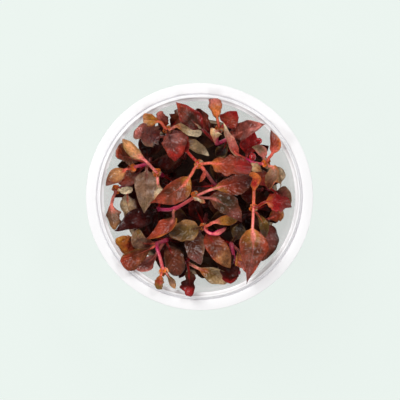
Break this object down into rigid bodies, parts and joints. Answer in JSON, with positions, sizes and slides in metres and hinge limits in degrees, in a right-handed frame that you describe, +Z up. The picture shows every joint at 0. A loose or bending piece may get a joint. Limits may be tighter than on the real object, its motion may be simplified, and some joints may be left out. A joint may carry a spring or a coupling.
{
  "type": "alternanthera reineckii culture cup",
  "caption": "Red and olive aquarium plantlets, Alternanthera reineckii, crammed in an open round clear culture cup with a wide white flange, rooted in gel.",
  "frame": {"origin": "centre of the cup's flat underside", "axes": "+Z up out of the cup's mouth, +Y the picture's upward direction, +X its right"},
  "size_m": [0.095, 0.0944, 0.072],
  "materials": {
    "clear_plastic": "glossy, slightly milky",
    "gel": "wet, translucent",
    "stem": "satin",
    "leaf_red_brown": "satin",
    "leaf_crimson": "satin",
    "leaf_orange": "satin",
    "leaf_tan": "satin",
    "leaf_olive": "satin",
    "leaf_beige": "satin",
    "leaf_mauve": "satin",
    "leaf_maroon": "satin"
  },
  "bodies": {
    "root": {"cup": "clear_plastic", "leaf_a1": "leaf_orange", "leaf_a2": "leaf_orange", "leaf_a3": "leaf_red_brown", "leaf_b1": "leaf_beige", "leaf_b2": "leaf_olive", "leaf_b3": "leaf_crimson", "leaf_b4": "leaf_beige", "leaf_c1": "leaf_red_brown", "leaf_c2": "leaf_red_brown", "leaf_c4": "leaf_orange", "leaf_c5": "leaf_maroon", "leaf_d1": "leaf_orange", "leaf_d2": "leaf_crimson", "leaf_d3": "leaf_crimson", "leaf_f1": "leaf_tan", "leaf_f2": "leaf_beige", "leaf_g1": "leaf_tan", "leaf_g2": "leaf_olive", "leaf_g3": "leaf_mauve", "leaf_h1": "leaf_orange", "leaf_k1": "leaf_orange", "leaf_k2": "leaf_olive", "leaf_k7": "leaf_mauve", "leaf_n1": "leaf_olive", "leaf_n2": "leaf_mauve", "leaf_n3": "leaf_orange", "leaf_n4": "leaf_tan", "leaf_q1": "leaf_olive", "leaf_q2": "leaf_crimson", "leaf_r1": "leaf_maroon", "leaf_s1": "leaf_mauve", "leaf_s2": "leaf_tan", "leaf_u1": "leaf_red_brown", "leaf_u2": "leaf_tan", "leaf_u3": "leaf_beige", "leaf_u4": "leaf_red_brown", "leaf_u5": "leaf_crimson", "leaf_w1": "leaf_orange", "leaf_w2": "leaf_tan", "leaf_w3": "leaf_crimson", "leaf_w4": "leaf_crimson", "leaf_w5": "leaf_beige", "nutrient_gel": "gel", "stem_a": "stem", "stem_b": "stem", "stem_c": "stem", "stem_d": "stem", "stem_f": "stem", "stem_g": "stem", "stem_h": "stem", "stem_k": "stem", "stem_n": "stem", "stem_q": "stem", "stem_r": "stem", "stem_s": "stem", "stem_u": "stem", "stem_w": "stem", "stem_x": "stem"}
  },
  "joints": []
}
